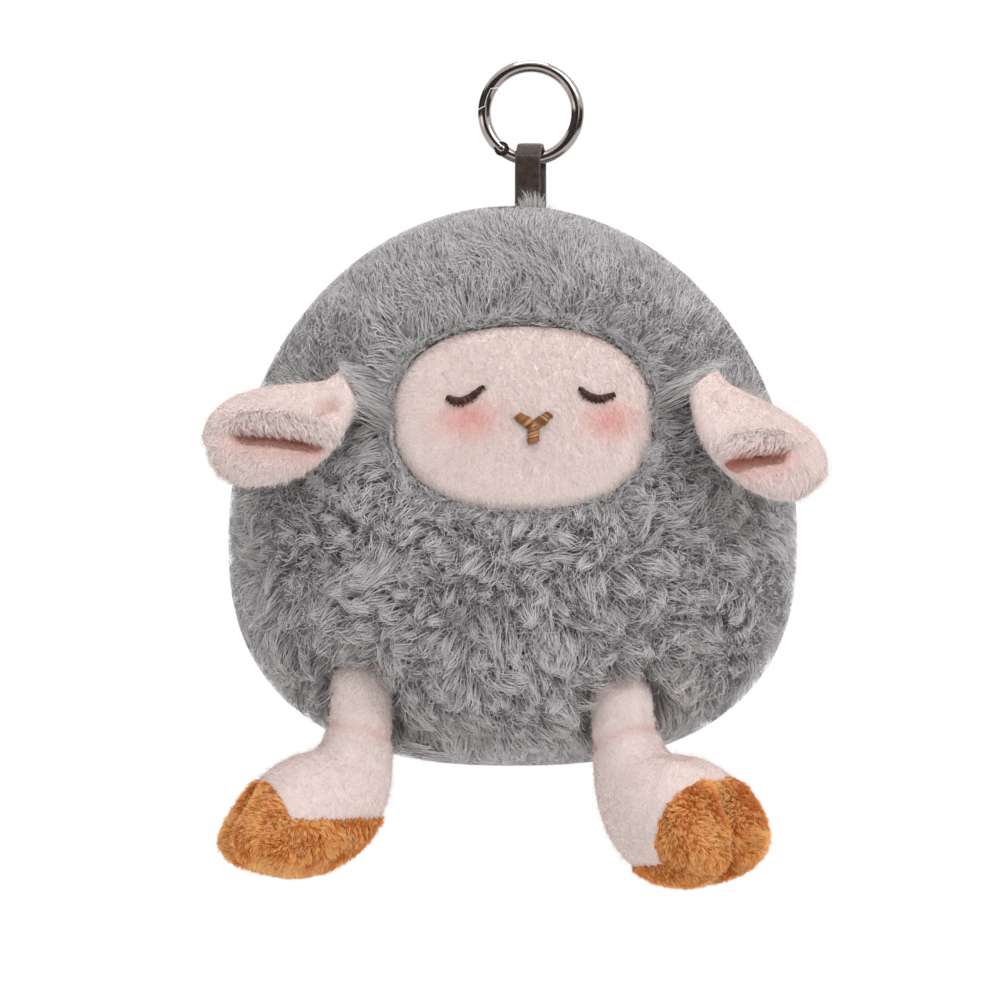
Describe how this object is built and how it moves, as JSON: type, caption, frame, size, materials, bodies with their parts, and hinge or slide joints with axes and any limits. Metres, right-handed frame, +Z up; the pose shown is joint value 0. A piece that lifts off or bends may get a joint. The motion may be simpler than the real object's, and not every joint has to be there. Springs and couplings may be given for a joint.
{
  "type": "plush sheep bag charm",
  "caption": "Furry round plush sheep with folded ears and hanging cloven feet, hung by a leather strap loop from a spring-gate ring.",
  "frame": {"origin": "inside top of the ring, where a hook or bag ring bears when the charm hangs", "axes": "+Z up along the hanging charm, -Y towards the face, +X to the viewer's right"},
  "size_m": [0.1456, 0.1121, 0.1944],
  "materials": {
    "ring_nickel": "polished",
    "spring_steel": "satin",
    "strap_leather": "satin",
    "grey_fur": "matte",
    "pink_pile": "matte",
    "ear_lining": "matte",
    "hoof_pile": "matte",
    "stuffing": "matte",
    "eye_thread": "satin",
    "nose_thread": "satin"
  },
  "bodies": {
    "ring": {"ring_body": "ring_nickel"},
    "gate": {"ring_gate": "ring_nickel", "gate_rivet": "ring_nickel", "gate_spring": "spring_steel", "gate_plunger": "spring_steel"},
    "torso": {"strap_loop": "strap_leather", "body_front_panel": "grey_fur", "body_back_panel": "grey_fur", "body_stuffing": "stuffing", "face_panel": "pink_pile", "left_eye_stitching": "eye_thread", "right_eye_stitching": "eye_thread", "nose_stitching": "nose_thread"},
    "left_ear": {"left_ear_shell": "pink_pile", "left_ear_lining": "ear_lining"},
    "right_ear": {"right_ear_shell": "pink_pile", "right_ear_lining": "ear_lining"},
    "left_leg": {"left_leg_sleeve": "pink_pile", "left_hoof": "hoof_pile", "left_leg_stuffing": "stuffing"},
    "right_leg": {"right_leg_sleeve": "pink_pile", "right_hoof": "hoof_pile", "right_leg_stuffing": "stuffing"}
  },
  "joints": [
    {"name": "gate_hinge", "type": "hinge", "parent": "ring", "child": "gate", "pos_m": [-0.00692, 0, -0.01805], "axis": [0, 1, 0], "range_deg": [0, 28], "stiffness_Nm_per_rad": 0.02, "springref_deg": -17.19},
    {"name": "strap_swing", "type": "hinge", "parent": "ring", "child": "torso", "pos_m": [0, 0, -0.0205], "axis": [1, 0, 0], "range_deg": [-110, 110]},
    {"name": "left_ear_root", "type": "hinge", "parent": "torso", "child": "left_ear", "pos_m": [-0.044, -0.03451, -0.078], "axis": [0.5182, 0.7992, -0.3045], "range_deg": [-20, 40], "stiffness_Nm_per_rad": 0.01},
    {"name": "right_ear_root", "type": "hinge", "parent": "torso", "child": "right_ear", "pos_m": [0.0405, -0.03079, -0.078], "axis": [0.6021, -0.7342, 0.3136], "range_deg": [-20, 40], "stiffness_Nm_per_rad": 0.01},
    {"name": "left_hip", "type": "hinge", "parent": "torso", "child": "left_leg", "pos_m": [-0.0397, -0.02504, -0.145], "axis": [-1, 0, 0], "range_deg": [0, 80]},
    {"name": "right_hip", "type": "hinge", "parent": "torso", "child": "right_leg", "pos_m": [0.0209, -0.02801, -0.1475], "axis": [-0.9962, 0, -0.0872], "range_deg": [0, 80]}
  ]
}
